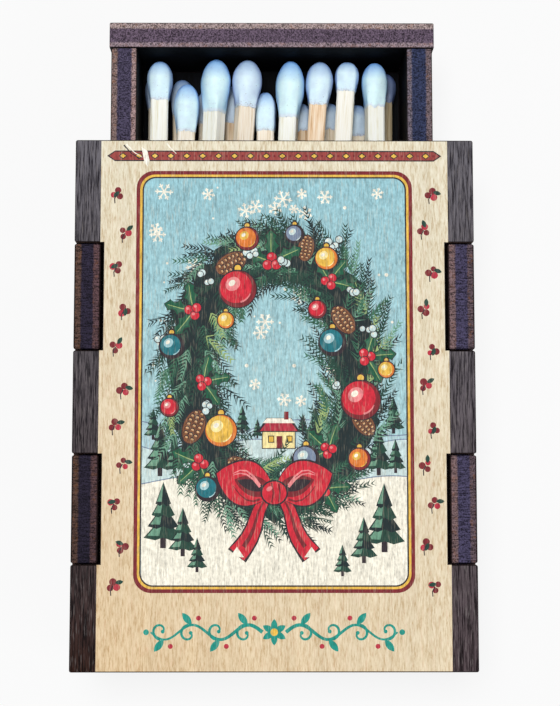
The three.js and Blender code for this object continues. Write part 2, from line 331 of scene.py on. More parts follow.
def plywood(name, axis, outer, inner, look, inside, grain="Y"):
    """Three-ply that shows its layers on cut edges. `outer` and `inner` are where its two faces
    lie on `axis`. The outer face carries its stain and painted shade towards the near end, and
    `inside` is the inner one's darkest and lightest colour."""
    shader = Shader(name)
    normal = shader.axis(shader.node("TexCoord").outputs["Normal"], axis)
    outward = shader.math("MULTIPLY", normal, 1.0 if outer > inner else -1.0)
    stain_and_shade, streaks = sleeve_stain_and_shade(shader, grain)
    inner_face, _ = stained_veneer(shader, grain, *inside, hair=0.0)
    edge = ply_edge(shader, axis, outer, inner, look)
    color = shader.mix(shader.math("GREATER_THAN", outward, 0.75), edge, stain_and_shade)
    color = shader.mix(shader.math("LESS_THAN", outward, -0.75), color, inner_face)
    # The softened edges darken: laser char, and also painted shade for the gaps beside the fingers.
    color = shader.mix(shader.math("MULTIPLY", shader.attribute("burnt"), 0.85), color, CHARRED_AND_SHADED)
    return shader.finish(color, streaks, 0.7, 0.04, specular=0.06)


def striker_coat(name):
    shader = Shader(name)
    grit = shader.noise((9.0, 9.0, 9.0), detail=4.0, roughness=0.8)
    dots = shader.node(
        "TexVoronoi", Vector=shader.place((1.6, 1.6, 1.6)), Scale=1.0, Randomness=0.15
    ).outputs[0]
    raised = shader.ramp(dots, [(0.25, 1.0), (0.4, 0.0)])
    base = shader.ramp(grit, [(0.3, srgb(38, 22, 20)), (0.7, srgb(96, 58, 48))])
    color = shader.mix(raised, base, shader.mix(0.5, base, srgb(24, 16, 15)))
    height = shader.math("ADD", grit, raised)
    return shader.finish(color, height, 0.9, 0.05, specular=0.15)


# What the painted shade between the matches leaves of the lower layer's colours
LOWER_STICK_PAINTED_SHADE = srgb(158, 151, 134)
LOWER_HEAD_PAINTED_SHADE = srgb(116, 118, 142)


def seed_shift(shader):
    """A shift of the noise that is different for each piece with a `seed` attribute."""
    seed = shader.attribute("seed")
    paces = {"X": 13.1, "Y": 7.7, "Z": 3.3}
    shifts = {axis: shader.math("MULTIPLY", seed, pace) for axis, pace in paces.items()}
    return shader.node("CombineXYZ", **shifts).outputs[0]


def stick_wood(name):
    """Bare split softwood. The `tint` attribute goes from white wood, 0, to tan wood, 1, and
    `lower` dims the matches of the lower layer with painted shade."""
    shader = Shader(name)
    shift = seed_shift(shader)
    streaks = shader.noise((2.6, 0.09, 2.6), detail=5.0, roughness=0.6, shift=shift)
    hairs = shader.noise((8.0, 0.3, 8.0), detail=3.0, shift=shift)
    tone = shader.math("MULTIPLY", shader.math("ADD", streaks, hairs), 0.5)
    pale = shader.ramp(
        tone, [(0.36, srgb(222, 214, 180)), (0.47, srgb(246, 246, 234)), (0.64, srgb(252, 253, 249))]
    )
    tan = shader.ramp(
        tone, [(0.36, srgb(184, 134, 92)), (0.48, srgb(238, 206, 168)), (0.64, srgb(252, 238, 218))]
    )
    color = shader.mix(shader.attribute("tint"), pale, tan)
    # Painted shade: the lower layer's sticks are darkened by the share that `lower` gives.
    color = shader.mix(shader.attribute("lower"), color, LOWER_STICK_PAINTED_SHADE, "MULTIPLY")
    return shader.finish(color, tone, 0.7, 0.03, specular=0.15)


def head_coat(name):
    """The dipped coating, with a few dark specks. Faces that turn up are pale blue and its flanks
    are darker and bluer, which is painted light and shade. The `tint`
    attribute turns it from sky blue, 0, to lavender, 1."""
    shader = Shader(name)
    shift = seed_shift(shader)
    along = shader.attribute("along")
    # Painted light and shade: faces that turn up get the pale colours, the flanks the darker blue
    # ones.
    painted_light_by_facing = shader.axis(shader.node("NewGeometry").outputs["Normal"], "Z")
    sky_blue = shader.ramp(
        painted_light_by_facing,
        [(0.0, srgb(104, 150, 208)), (0.4, srgb(178, 224, 250)), (0.85, srgb(222, 253, 255))],
    )
    lavender = shader.ramp(
        painted_light_by_facing,
        [(0.0, srgb(122, 144, 198)), (0.4, srgb(188, 212, 244)), (0.85, srgb(220, 243, 254))],
    )
    tint = shader.attribute("tint")
    color = shader.mix(tint, sky_blue, lavender)
    tip = shader.mix(tint, srgb(150, 192, 255), srgb(194, 212, 240))
    tip_share = shader.ramp(along, [(0.02, 1.0), (0.42, 0.0)])
    color = shader.mix(tip_share, color, tip, "MULTIPLY")
    color = shader.mix(shader.rise(along, 0.93, 0.98), color, srgb(222, 238, 246))
    blotch = shader.noise((0.9, 0.9, 0.9), detail=3.0, shift=shift)
    tone = shader.ramp(blotch, [(0.3, srgb(240, 238, 246)), (0.7, srgb(255, 255, 255))])
    color = shader.multiply(color, tone)
    specks = shader.noise((5.5, 5.5, 5.5), detail=2.0, roughness=0.6, shift=shift)
    rare = shader.rise(specks, 0.70, 0.75, 0.8)
    at_collar = shader.math("MULTIPLY", shader.rise(along, 0.88, 0.97), tint)
    collar = shader.math("MULTIPLY", at_collar, shader.rise(specks, 0.52, 0.62, 0.7))
    color = shader.mix(shader.math("MAXIMUM", rare, collar), color, srgb(104, 92, 88))
    # Painted shade: the lower layer's heads are darkened by the share that `lower` gives.
    color = shader.mix(shader.attribute("lower"), color, LOWER_HEAD_PAINTED_SHADE, "MULTIPLY")
    lumps = shader.noise((3.5, 3.5, 3.5), detail=4.0, shift=shift)
    return shader.finish(color, lumps, 0.45, 0.03, specular=0.3)


# Building meshes


def add_object(name, mesh, body, materials):
    for material in materials:
        mesh.materials.append(material)
    piece = bpy.data.objects.new(name, mesh)
    bpy.context.scene.collection.objects.link(piece)
    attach(piece, body)
    return piece


def mesh_from(name, build, smooth=False):
    work = bmesh.new()
    build(work)
    bmesh.ops.recalc_face_normals(work, faces=work.faces)
    for face in work.faces:
        face.smooth = smooth
    mesh = bpy.data.meshes.new(name)
    work.to_mesh(mesh)
    work.free()
    return mesh


def cut_sheet(node, material, axis, corner_mm=0.22, edge_mm=PANEL_SOFTENING, lower_top_mm=0.0):
    """A panel like its CAD node, with the rounded corners and softened edges of cut plywood. Its
    softened edges carry a number that marks them dark: the laser's char, and also painted shade
    for the gaps between the panels."""
    source = frame["nodes"][node].data
    thickness_axis = "XYZ".index(axis)

    def build(work):
        work.from_mesh(source)
        bmesh.ops.remove_doubles(work, verts=work.verts, dist=1e-6)
        bmesh.ops.dissolve_limit(work, angle_limit=radians(1), verts=work.verts, edges=work.edges)
        if lower_top_mm:
            top = max(vertex.co.z for vertex in work.verts)
            for vertex in work.verts:
                if vertex.co.z > top - 0.5 * MM:
                    vertex.co.z -= lower_top_mm * MM

        def runs_through(edge):
            run = edge.verts[1].co - edge.verts[0].co
            return abs(run[thickness_axis]) > 0.99 * run.length

        corners = [e for e in work.edges if runs_through(e) and e.is_convex]
        bmesh.ops.bevel(
            work, geom=corners, offset=corner_mm * MM, segments=3, profile=0.5, affect="EDGES"
        )
        rims = [
            e
            for e in work.edges
            if len(e.link_faces) == 2 and e.calc_face_angle(0) > radians(60)
        ]
        burnt = work.faces.layers.float.new("burnt")
        softened = bmesh.ops.bevel(
            work, geom=rims, offset=edge_mm * MM, segments=2, profile=0.5, affect="EDGES"
        )
        for face in softened["faces"]:
            face[burnt] = 1.0

    mesh = mesh_from(f"{node}_sheet", build)
    piece = add_object(f"{node}_sheet", mesh, BODY_OF[node], [material])
    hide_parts(node)


# The print: a flat drawing of many shapes, where each covers those drawn before it


class Print:
    """Collects shapes, then makes one sheet of them in which no two lie over each other."""

    def __init__(self):
        self.shapes = []

    def add(self, color, points):
        twice_area = sum(a[0] * b[1] - b[0] * a[1] for a, b in zip(points, points[1:] + points[:1]))
        self.shapes.append((color, points if twice_area > 0 else points[::-1]))

    def make(self, materials):
        names = list(materials)
        places, outlines = [], []
        for _, points in self.shapes:
            outlines.append(list(range(len(places), len(places) + len(points))))
            places += [Vector(point) for point in points]
        points, _, faces, _, _, drawn = delaunay_2d_cdt(places, [], outlines, 1, 1e-4)

        def build(work):
            top = [work.verts.new((x * MM, y * MM, FRONT_Z * MM)) for x, y in points]
            for face, shapes in zip(faces, drawn):
                made = work.faces.new([top[i] for i in face])
                made.material_index = names.index(self.shapes[max(shapes)][0])
            rim = [e for e in work.edges if len(e.link_faces) == 1]
            skirt = bmesh.ops.extrude_edge_only(work, edges=rim)["geom"]
            low = [v for v in skirt if isinstance(v, bmesh.types.BMVert)]
            for vertex in low:
                vertex.co.z -= INK_SKIRT * MM
            low_edges = [e for e in skirt if isinstance(e, bmesh.types.BMEdge)]
            bmesh.ops.contextual_create(work, geom=low_edges)

        mesh = mesh_from("front_print", build)
        add_object("front_print", mesh, "sleeve", materials.values())


def angles_round(count, shift=0.0):
    return [2 * pi * (i + shift) / count for i in range(count)]


def polar(x, y, reach, angle):
    """The point at a distance from another one, in the direction of an angle."""
    return x + reach * cos(angle), y + reach * sin(angle)


def ellipse(x, y, rx, ry=None, steps=26, turn=0.0):
    ry = rx if ry is None else ry
    points = [(rx * cos(angle), ry * sin(angle)) for angle in angles_round(steps)]
    return placed(points, x, y, turn)


def trapezoid(low, high):
    """A shape between two level edges, each given as its height, left end and right end."""
    (low_y, low_left, low_right), (high_y, high_left, high_right) = low, high
    return [(low_left, low_y), (low_right, low_y), (high_right, high_y), (high_left, high_y)]


def pointed_bar(x0, x1, y, half, point):
    """A level bar from x0 to x1 with a point at each end."""
    low, high = y - half, y + half
    return [(x0 - point, y), (x0, low), (x1, low), (x1 + point, y), (x1, high), (x0, high)]


def rounded_box(x0, y0, x1, y1, radius, steps=8):
    points = []
    corners = ((x1, y1, 0), (x0, y1, 90), (x0, y0, 180), (x1, y0, 270))
    for x, y, start in corners:
        cx = x - copysign(radius, x - (x0 + x1) / 2)
        cy = y - copysign(radius, y - (y0 + y1) / 2)
        for i in range(steps + 1):
            points.append(polar(cx, cy, radius, radians(start + 90 * i / steps)))
    return points


def inset(box, by):
    x0, y0, x1, y1 = box
    return (x0 + by, y0 + by, x1 - by, y1 - by)


def stroke(path, width, end_width=None):
    """The outline of a line along a path, which may change its width towards its end."""
    end_width = width if end_width is None else end_width
    left, right = [], []
    for i, point in enumerate(path):
        ahead = path[min(i + 1, len(path) - 1)]
        behind = path[max(i - 1, 0)]
        dx, dy = ahead[0] - behind[0], ahead[1] - behind[1]
        size = hypot(dx, dy) or 1.0
        share = i / (len(path) - 1)
        half = (width * (1 - share) + end_width * share) / 2
        left.append((point[0] - dy / size * half, point[1] + dx / size * half))
        right.append((point[0] + dy / size * half, point[1] - dx / size * half))
    return left + right[::-1]


def placed(points, x, y, turn=0.0, scale=1.0):
    c, s = cos(turn) * scale, sin(turn) * scale
    return [(x + px * c - py * s, y + px * s + py * c) for px, py in points]


def leaf_outline(length, width, swell, steps=7):
    """A pointed leaf along +x from the origin. `swell` shapes its side, from 0 to 1."""
    side = [(i / steps, width / 2 * swell(i / steps)) for i in range(steps + 1)]
    upper = [(t * length, h) for t, h in side]
    lower = [(t * length, -h) for t, h in side[-2:0:-1]]
    return upper + lower


def plain_side(t):
    return sin(pi * t) ** 0.8


def holly_side(t):
    """The side of a holly leaf, with three spines."""
    spine = (1 - abs(2 * (3 * t % 1) - 1)) ** 2
    return sin(pi * t) ** 0.5 * (0.5 + 0.5 * spine)


def leaf(x, y, length, width, turn):
    return placed(leaf_outline(length, width, plain_side), x, y, turn)


# The picture

FIELD = (-15.7, -21.3, 15.7, 26.4)
# The layers of its frame: how far inside the field's edge each starts and its corners' radius
FRAME = {"maroon": (0.0, 2.0), "gold": (0.42, 1.7), "outline": (0.68, 1.5), "sky": (0.85, 1.35)}
WREATH_CENTRE = (0.0, 3.1)
WREATH_RX, WREATH_RY = 9.4, 13.6  # the ring's middle line
WREATH_HALF_BAND = 5.4


def on_wreath(angle, across):
    """A point of the wreath's ring, `across` millimetres outside its middle line."""
    nx, ny = cos(angle) / WREATH_RX, sin(angle) / WREATH_RY
    size = hypot(nx, ny)
    x = WREATH_CENTRE[0] + WREATH_RX * cos(angle) + across * nx / size
    y = WREATH_CENTRE[1] + WREATH_RY * sin(angle) + across * ny / size
    return x, y


def wreath_spot(degrees, share):
    """A point of the ring, at a share of half its band outside its middle line."""
    return on_wreath(radians(degrees), share * WREATH_HALF_BAND)


def draw_field(art):
    """A framed winter field: sky, hills, firs, a cottage and snowflakes."""
    for color, (step, radius) in FRAME.items():
        art.add(color, rounded_box(*inset(FIELD, step), radius))
    draw_hill(art, "far_hill", -2.9, 0.9, 0.31, 0.6)
    for x, size in ((-3.6, 1.0), (-1.9, 0.7), (4.6, 1.2), (3.2, 0.75), (-13.6, 1.1), (13.4, 1.3)):
        draw_fir(art, x, -3.3 + 0.5 * sin(x), size)
    draw_hill(art, "pale_sky", -5.0, 0.8, 0.37, 2.4)
    draw_cottage(art, 0.6, -4.3)
    for x, size in ((-4.9, 1.5), (-12.8, 1.9), (-11.2, 1.3), (11.7, 1.7), (13.6, 1.2)):
        draw_fir(art, x, -7.4, size)
    draw_hill(art, "snow", -9.0, 0.7, 0.29, 4.0)
    for x, y, size in (
        (-12.4, -15.2, 2.3), (-10.2, -16.4, 1.7), (12.3, -15.6, 2.4), (10.0, -17.2, 1.6),
        (-8.6, -18.4, 1.2), (7.6, -18.9, 1.1),
    ):
        draw_fir(art, x, y, size)
    rng = random.Random(9)
    for _ in range(58):
        x, y = rng.uniform(-14.0, 14.0), rng.uniform(-0.2, 24.6)
        if rng.random() < 0.42:
            draw_flake(art, x, y, rng.uniform(0.55, 1.05), rng.uniform(0, 1))
        else:
            art.add("snow", ellipse(x, y, rng.uniform(0.1, 0.22), steps=10))


def draw_hill(art, color, base, swell, pace, phase):
    """A snowy hill across the field, with a thin line along its crest."""
    step, radius = FRAME["sky"]
    x0, floor, x1, _ = inset(FIELD, step)
    count = 40
    crest = []
    for i in range(count + 1):
        x = x0 + (x1 - x0) * i / count
        crest.append((x, base + swell * sin(pace * x + phase)))
    corners = [p for p in rounded_box(x0, floor, x1, base - 3, radius) if p[1] < floor + radius]
    corners.sort(key=lambda p: p[0])
    art.add(color, corners + crest[::-1])
    art.add("slate", stroke(crest, 0.12))


def draw_fir(art, x, y, size):
    """A small fir of four tiers on the snow."""
    art.add("outline", stroke([(x, y - 0.5 * size), (x, y + 0.3 * size)], 0.28 * size))
    for i in range(4):
        low, half = y + 0.55 * i * size, (0.95 - 0.19 * i) * size
        tier = [(x - half, low), (x - half * 0.4, low - 0.12 * size), (x, low + 0.02)]
        tier += [(x + half * 0.45, low - 0.14 * size), (x + half, low), (x, low + 1.05 * size)]
        art.add("deep_green" if i % 2 else "green", tier)
        lit = [(x - half * 0.8, low + 0.1 * size), (x, low + 1.0 * size)]
        art.add("light_green", lit + [(x - half * 0.2, low + 0.2)])


# The cottage's shapes, drawn in this order: their colours and their lower and upper edges
COTTAGE = (
    ("outline", (-1.0, -2.0, 1.8), (1.1, -2.0, 1.8)),
    ("pale_gold", (-0.9, -1.9, 1.7), (1.0, -1.9, 1.7)),
    ("outline", (0.9, -2.5, 2.3), (2.5, -1.5, 1.3)),
    ("berry", (1.02, -2.2, 2.0), (2.1, -1.4, 1.2)),
    ("snow", (1.9, -1.9, 1.7), (2.45, -1.45, 1.25)),
    ("maroon", (2.3, 0.5, 1.0), (3.2, 0.5, 1.0)),
    ("outline", (-0.3, -1.3, -0.6), (0.5, -1.3, -0.6)),
    ("gold", (-0.2, -1.2, -0.7), (0.4, -1.2, -0.7)),
    ("outline", (-0.3, 0.75, 1.45), (0.5, 0.75, 1.45)),
    ("gold", (-0.2, 0.85, 1.35), (0.4, 0.85, 1.35)),
    ("maroon", (-0.9, -0.35, 0.3), (0.45, -0.35, 0.3)),
)


def draw_cottage(art, x, y):
    """A cottage with lit windows and snow on its roof."""
    for color, low, high in COTTAGE:
        art.add(color, placed(trapezoid(low, high), x, y))


def draw_flake(art, x, y, size, turn):
    """A snowflake: three crossing arms with small barbs."""
    for k in range(3):
        angle = turn + pi * k / 3
        art.add("snow", stroke([polar(x, y, -size, angle), polar(x, y, size, angle)], 0.16))
    for k in range(6):
        angle = turn + pi * k / 3
        fork = polar(x, y, 0.6 * size, angle)
        for side in (-0.9, 0.9):
            art.add("snow", stroke([fork, polar(*fork, 0.32 * size, angle + side)], 0.12))


def draw_sprig(art, rng, x, y, turn, length, color):
    """A fir sprig: a bent stem with needles on both sides."""
    bend = rng.uniform(-0.35, 0.35)
    steps = 9
    path = []
    for _ in range(steps):
        path.append((x, y))
        x += length / steps * cos(turn)
        y += length / steps * sin(turn)
        turn += bend / steps
    for i, (px, py) in enumerate(path):
        reach = length * 0.36 * (1 - 0.6 * i / steps)
        for side in (-1, 1):
            angle = turn + side * rng.uniform(0.4, 0.85)
            end = polar(px, py, reach, angle)
            if abs(end[0]) > FIELD[2] - 1.0:
                continue
            half = rng.uniform(0.07, 0.115)
            sx, sy = -sin(angle) * half, cos(angle) * half
            art.add(color, [(px - sx, py - sy), end, (px + sx, py + sy)])


def draw_wreath(art):
    """An oval ring of fir sprigs over a dark base."""
    rng = random.Random(11)
    count = 72
    outer, inner = [], []
    for angle in angles_round(count):
        outer.append(on_wreath(angle, WREATH_HALF_BAND * rng.uniform(0.4, 0.6)))
        inner.append(on_wreath(angle, -WREATH_HALF_BAND * rng.uniform(0.35, 0.55)))
    for i in range(count):
        j = (i + 1) % count
        art.add("deep_green", [inner[i], outer[i], outer[j], inner[j]])
    tones = ("deep_green", "green", "deep_green", "mid_green", "green", "green", "light_green")
    total = 520
    order = list(range(total))
    rng.shuffle(order)
    for turn_number, i in enumerate(order):
        angle = 2 * pi * (i + rng.random()) / total
        across = rng.uniform(-0.6, 0.6) * WREATH_HALF_BAND
        x, y = on_wreath(angle, across)
        ax, ay = on_wreath(angle + 0.05, across)
        along = atan2(ay - y, ax - x)
        lean = (-1 if across > 0 else 1) * rng.uniform(0.05, 1.05)
        late = turn_number / total
        color = rng.choice(tones if late > 0.35 else tones[:3])
        if late > 0.9:
            color = rng.choice(("mid_green", "light_green", "moss"))
        draw_sprig(art, rng, x, y, along + lean, rng.uniform(2.9, 4.4), color)


def draw_cone(art, x, y, turn, size):
    """A fir cone: rows of scales, each with a pale lip."""

    def add(color, *measures):
        art.add(color, placed(ellipse(*measures), x, y, turn, size))

    add("outline", 0, 0, 2.0, 1.25)
    add("cone", 0, 0, 1.85, 1.12)
    for row in range(7):
        along = 1.45 - 0.48 * row
        half = 1.05 * sqrt(max(0.05, 1 - (along / 1.95) ** 2))
        scales = max(2, round(half / 0.34))
        for k in range(scales):
            across = half * (2 * (k + 0.5) / scales - 1) * 0.9
            add("outline", along, across, 0.36, 0.29, 10)
            add("cone", along - 0.06, across, 0.3, 0.24, 10)
            add("cone_light", along + 0.12, across, 0.11, 0.17, 8)


def draw_berry(art, x, y, radius, color="red", light="rose"):
    art.add("outline", ellipse(x, y, radius + 0.09, steps=16))
    art.add(color, ellipse(x, y, radius, steps=16))
    art.add(light, ellipse(x - 0.3 * radius, y + 0.32 * radius, radius * 0.34, steps=10))


def draw_holly(art, x, y, turn, size):
    """Three holly leaves round three berries."""
    rim = leaf_outline(3.45, 2.0, holly_side, steps=24)
    blade = leaf_outline(3.3, 1.75, holly_side, steps=24)
    lit = [(px * 0.9 + 0.15, py * 0.7) for px, py in blade if py >= 0]
    vein = stroke([(0.2, 0.0), (1.6, 0.05), (3.0, 0.0)], 0.16, 0.05)
    for spread in (-1.15, 1.15, 0.0):
        angle = turn + spread
        art.add("outline", placed(rim, x, y, angle, size))
        art.add("holly", placed(blade, *polar(x, y, 0.06, angle), angle, size))
        art.add("mid_green", placed(lit, x, y, angle, size))
        art.add("moss", placed(vein, x, y, angle, size))
    for k in range(3):
        draw_berry(art, *polar(x, y, 0.52 * size, turn + 2.1 * k), 0.5 * size)


def draw_bauble(art, x, y, radius, color, shade, light):
    """A glass ball: a dark rim, a shaded and a lit side, a window's glint and its gold cap."""
    cap = 0.17 * radius + 0.14
    art.add("outline", ellipse(x, y + radius + cap * 0.6, cap + 0.07, steps=12))
    art.add("gold", ellipse(x, y + radius + cap * 0.6, cap * 0.75, steps=12))
    art.add("outline", ellipse(x, y, radius + 0.12))
    art.add(shade, ellipse(x, y, radius))
    shift = 0.1 * radius
    art.add(color, ellipse(x - shift, y + shift, radius * 0.86))
    art.add(light, ellipse(x - 2.6 * shift, y + 2.8 * shift, radius * 0.42, radius * 0.36, turn=0.7))
    art.add("snow", ellipse(x - 3.1 * shift, y + 3.3 * shift, radius * 0.2, radius * 0.15, turn=0.7))
    glow = [polar(x, y, 0.72 * radius, angle) for angle in (-1.35, -1.1, -0.85, -0.6, -0.35)]
    art.add(light, stroke(glow, 0.1 * radius, 0.06 * radius))


GLASS = {
    "red": ("red", "maroon", "rose"),
    "gold": ("gold", "amber", "pale_gold"),
    "teal": ("teal", "outline", "sky"),
    "silver": ("slate", "outline", "pale_sky"),
    "amber": ("amber", "maroon", "gold"),
}


def draw_ornaments(art):
    """Cones, holly, white berries and glass balls round the wreath."""
    for degrees, across, turn, size in (
        (118, 0.15, 0.5, 1.0), (28, -0.1, 2.2, 0.95), (338, 0.25, -0.9, 0.9), (205, 0.1, 1.2, 1.05),
        (238, -0.3, 2.6, 0.8), (72, 0.3, 1.4, 0.8),
    ):
        draw_cone(art, *wreath_spot(degrees, across), turn, size)
    for degrees, across, turn, size in (
        (92, -0.15, 1.6, 1.1), (150, 0.2, 2.9, 1.0), (184, -0.25, 0.2, 0.95), (8, 0.2, 0.1, 1.0),
        (50, 0.05, 0.9, 0.95), (318, -0.2, 2.4, 0.95), (222, 0.3, 3.9, 1.0), (300, 0.25, 5.2, 0.9),
    ):
        draw_holly(art, *wreath_spot(degrees, across), turn, size)
    rng = random.Random(5)
    for degrees in (104, 133, 168, 198, 246, 286, 326, 352, 18, 40, 62, 82):
        x, y = wreath_spot(degrees, rng.uniform(-0.7, 0.7))
        for k in range(rng.choice((3, 4, 5))):
            bx, by = x + rng.uniform(-0.85, 0.85), y + rng.uniform(-0.7, 0.7)
            draw_berry(art, bx, by, rng.uniform(0.3, 0.42), "pale_sky", "snow")
    for degrees, across, radius, glass in (
        (126, -0.35, 2.1, "red"), (60, 0.35, 1.25, "gold"), (18, -0.45, 1.5, "teal"),
        (348, 0.1, 2.2, "red"), (322, 0.45, 1.2, "amber"), (212, -0.4, 1.75, "gold"),
        (168, 0.45, 1.35, "teal"), (194, 0.5, 1.0, "red"), (80, 0.5, 1.0, "silver"),
        (104, 0.45, 1.3, "amber"), (40, -0.5, 1.0, "red"), (304, -0.45, 1.45, "silver"),
        (234, 0.5, 1.3, "teal"), (148, -0.5, 0.9, "gold"), (2, 0.6, 0.9, "gold"),
    ):
        draw_bauble(art, *wreath_spot(degrees, across), radius, *GLASS[glass])


def draw_bow(art):
    """A ribbon bow at the foot of the wreath."""
    x, y = on_wreath(-pi / 2, -0.3)
    for side in (-1, 1):
        tail = [(x + side * (0.5 + 0.5 * t + 0.25 * sin(t)), y - 1.0 * t) for t in range(8)]
        art.add("outline", stroke(tail, 1.3, 2.5))
        art.add("red", stroke(tail[:-1] + [(tail[-1][0], tail[-1][1] + 0.18)], 1.0, 2.1))
        art.add("maroon", stroke(tail[1:-1], 0.2, 0.5))
        end_x, end_y = tail[-1]
        cut = [(end_x - 0.8, end_y - 0.15), (end_x + 0.8, end_y - 0.15), (end_x, end_y + 1.0)]
        art.add("snow", cut)
        turn = 0.32 if side > 0 else pi - 0.32
        for color, length, width, steps in (
            ("outline", 7.0, 5.4, 14), ("red", 6.8, 5.0, 14), ("maroon", 4.7, 2.3, 12),
        ):
            art.add(color, placed(leaf_outline(length, width, plain_side, steps), x, y, turn))
        hollow = leaf_outline(3.4, 1.2, plain_side, 12)
        art.add("outline", placed(hollow, x + side * 0.9, y + 0.3, turn))
        for color, lift in (("rose", 1.35), ("rose", 1.75), ("maroon", -1.5)):
            fold = []
            for t in range(5):
                rise = lift * sin(0.5 + 0.55 * t)
                fold.append((x + side * (1.6 + 0.75 * t), y + 0.35 * t + rise))
            art.add(color, stroke(fold, 0.26, 0.08))
    art.add("outline", ellipse(x, y, 1.55, 1.45))
    art.add("red", ellipse(x, y, 1.36, 1.26))
    art.add("maroon", stroke([(x - 0.3, y - 1.1), (x - 0.1, y), (x - 0.3, y + 1.1)], 0.18))
    art.add("maroon", stroke([(x + 0.5, y - 1.0), (x + 0.65, y), (x + 0.5, y + 1.0)], 0.18))
    art.add("rose", ellipse(x - 0.55, y + 0.45, 0.36, 0.24, turn=0.6))


def draw_margins(art):
    """Berry sprigs down both margins and a ribbon of lozenges along the far end."""
    rng = random.Random(3)
    for side in (-1, 1):
        for i in range(11):
            x = side * 17.45 + (0.45 if (i + (side > 0)) % 2 else -0.45)
            y = 23.9 - 4.45 * i + rng.uniform(-0.3, 0.3)
            turn = rng.uniform(0, 6.3)
            for k in range(3):
                spot = polar(x, y, 0.42, turn + 2.1 * k)
                berry = ellipse(*spot, rng.uniform(0.3, 0.42), steps=12)
                art.add("maroon" if k else "berry", berry)
            art.add("green", leaf(x + 0.2, y + 0.3, 0.95, 0.5, turn + 0.6))
            art.add("outline", stroke([(x, y), (x - 0.3, y - 0.55), (x - 0.25, y - 1.1)], 0.12))
    x0, x1, y, half = -18.2, 18.2, 28.15, 0.62
    art.add("outline", pointed_bar(x0, x1, y, half, 0.9))
    art.add("russet", pointed_bar(x0, x1, y, half - 0.14, 0.65))
    count = 20
    for i in range(count):
        cx = x0 + (x1 - x0) * (i + 0.5) / count
        art.add("outline", ellipse(cx, y, 0.5, 0.4, steps=4))
        art.add("gold", ellipse(cx, y, 0.34, 0.26, steps=4))
        art.add("maroon", ellipse(cx + 0.91, y, 0.14, steps=10))


def draw_foot(art):
    """A vine in teal at the near end: two mirrored runs with curls, leaves and berries."""

    def add(shape):
        art.add("ink_teal", shape)

    y, count, curl_steps = -25.6, 60, 16
    for side in (-1, 1):
        vine = []
        for i in range(count + 1):
            vine.append((side * (1.3 + 12.4 * i / count), y + 0.8 * sin(pi * i / 15)))
        add(stroke(vine, 0.42, 0.2))
        for k in range(4):
            px, py = vine[8 + 15 * k]
            up = 1 if k % 2 == 0 else -1
            curl = []
            for i in range(curl_steps + 1):
                angle = 5.2 * i / curl_steps
                radius = 1 - 0.72 * i / curl_steps
                out, back = 0.35 + radius * sin(angle), 1 - radius * cos(angle)
                curl.append((px + side * out, py - up * back))
            add(stroke(curl, 0.32, 0.2))
            add(ellipse(*curl[-1], 0.22, steps=10))
            add(leaf(px, py, 1.7, 0.75, 0.9 * up if side > 0 else pi - 0.9 * up))
            art.add("berry", ellipse(px - side * 0.75, py + up * 0.75, 0.28, steps=12))
        add(ellipse(side * 14.2, y, 0.32, steps=14))
    for k in range(6):
        add(leaf(0, y, 1.45, 0.72, pi / 2 + pi * k / 3))
    art.add("gold", ellipse(0, y, 0.42, steps=14))


def draw_wear(art):
    """A chip and a scratch near the far left corner, down to the bare wood."""
    chip = [(-15.2, 29.2), (-14.5, 28.7), (-14.25, 27.6)]
    chip += [(-14.45, 26.9), (-14.8, 27.3), (-15.0, 28.2)]
    art.add("bare", chip)
    art.add("outline", stroke([(-17.2, 29.4), (-16.3, 28.4), (-15.2, 27.8)], 0.16, 0.06))
    art.add("bare", stroke([(-16.9, 29.5), (-16.0, 28.55), (-15.1, 28.0)], 0.16, 0.05))
    art.add("bare", stroke([(-12.3, 29.6), (-11.8, 29.0), (-11.2, 28.4)], 0.2, 0.06))


INK_COLORS = {
    "pale_sky": (196, 216, 214),
    "far_hill": (172, 202, 208),
    "snow": (240, 234, 216),
    "outline": (46, 38, 44),
    "maroon": (118, 40, 46),
    "russet": (146, 66, 62),
    "red": (200, 42, 58),
    "rose": (228, 132, 134),
    "berry": (176, 50, 66),
    "gold": (226, 180, 76),
    "pale_gold": (244, 224, 156),
    "amber": (216, 120, 52),
    "teal": (34, 108, 118),
    "slate": (120, 134, 156),
    "deep_green": (24, 38, 40),
    "green": (34, 64, 54),
    "mid_green": (56, 100, 78),
    "light_green": (104, 148, 124),
    "moss": (150, 172, 110),
    "holly": (30, 84, 62),
    "cone": (122, 78, 52),
    "cone_light": (206, 164, 118),
    "ink_teal": (30, 140, 126),
    "bare": (246, 240, 224),
}


def finger_pockets():
    """The front panel's pockets for the side panels' fingers on its right side: how far from the
    middle they reach, and where each of them starts and ends along Y."""
    corners = {
        (round(vertex.co.x / MM, 2), round(vertex.co.y / MM, 2))
        for vertex in frame["nodes"]["front_panel"].data.vertices
        if PRINT_HALF_WIDTH - 1 < vertex.co.x / MM < SLEEVE_HALF_WIDTH - 1
    }
    ends = sorted(y for _, y in corners)
    return min(x for x, _ in corners), list(zip(ends[::2], ends[1::2]))


def print_outline():
    """The edge of the print, which steps in beside each finger."""
    x, y = PRINT_HALF_WIDTH, PRINT_HALF_LENGTH
    pocket_x, pockets = finger_pockets()
    right = [(x, -y)]
    for start, end in pockets:
        step = pocket_x - PANEL_SOFTENING
        right += [(x, start), (step, start), (step, end), (x, end)]
    right.append((x, y))
    return right + [(-px, py) for px, py in right[::-1]]


